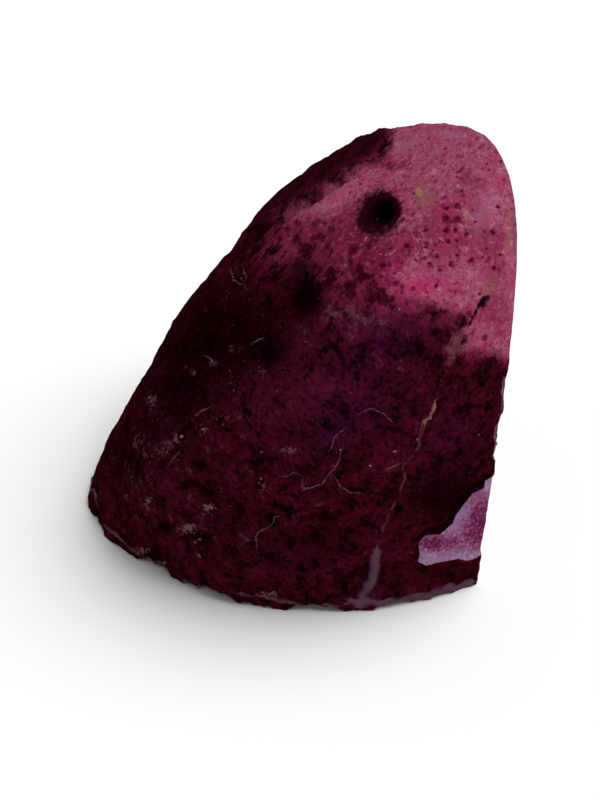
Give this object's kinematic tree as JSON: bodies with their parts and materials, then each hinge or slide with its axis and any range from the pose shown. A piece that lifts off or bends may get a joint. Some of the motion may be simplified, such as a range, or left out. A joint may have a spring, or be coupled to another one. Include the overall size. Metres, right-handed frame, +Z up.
{
  "type": "agate half geode",
  "caption": "Half nodule of dyed banded agate on a flat sawn base, with a sawn upright face, a crystal-lined hollow in it and a pitted natural rind behind.",
  "frame": {"origin": "centre of the bounding box on the plane of the sawn base", "axes": "+Z up, the sawn face with its hollow looks along -Y, the rind's back is towards +Y, +X along the sawn face's width"},
  "size_m": [0.1102, 0.063, 0.0945],
  "materials": {
    "agate": "dyed agate, waxy pitted rind, polished sawn face",
    "quartz": "clear to milky dyed quartz points"
  },
  "bodies": {
    "root": {"agate_half": "agate", "crystal_crust": "quartz"}
  },
  "joints": []
}
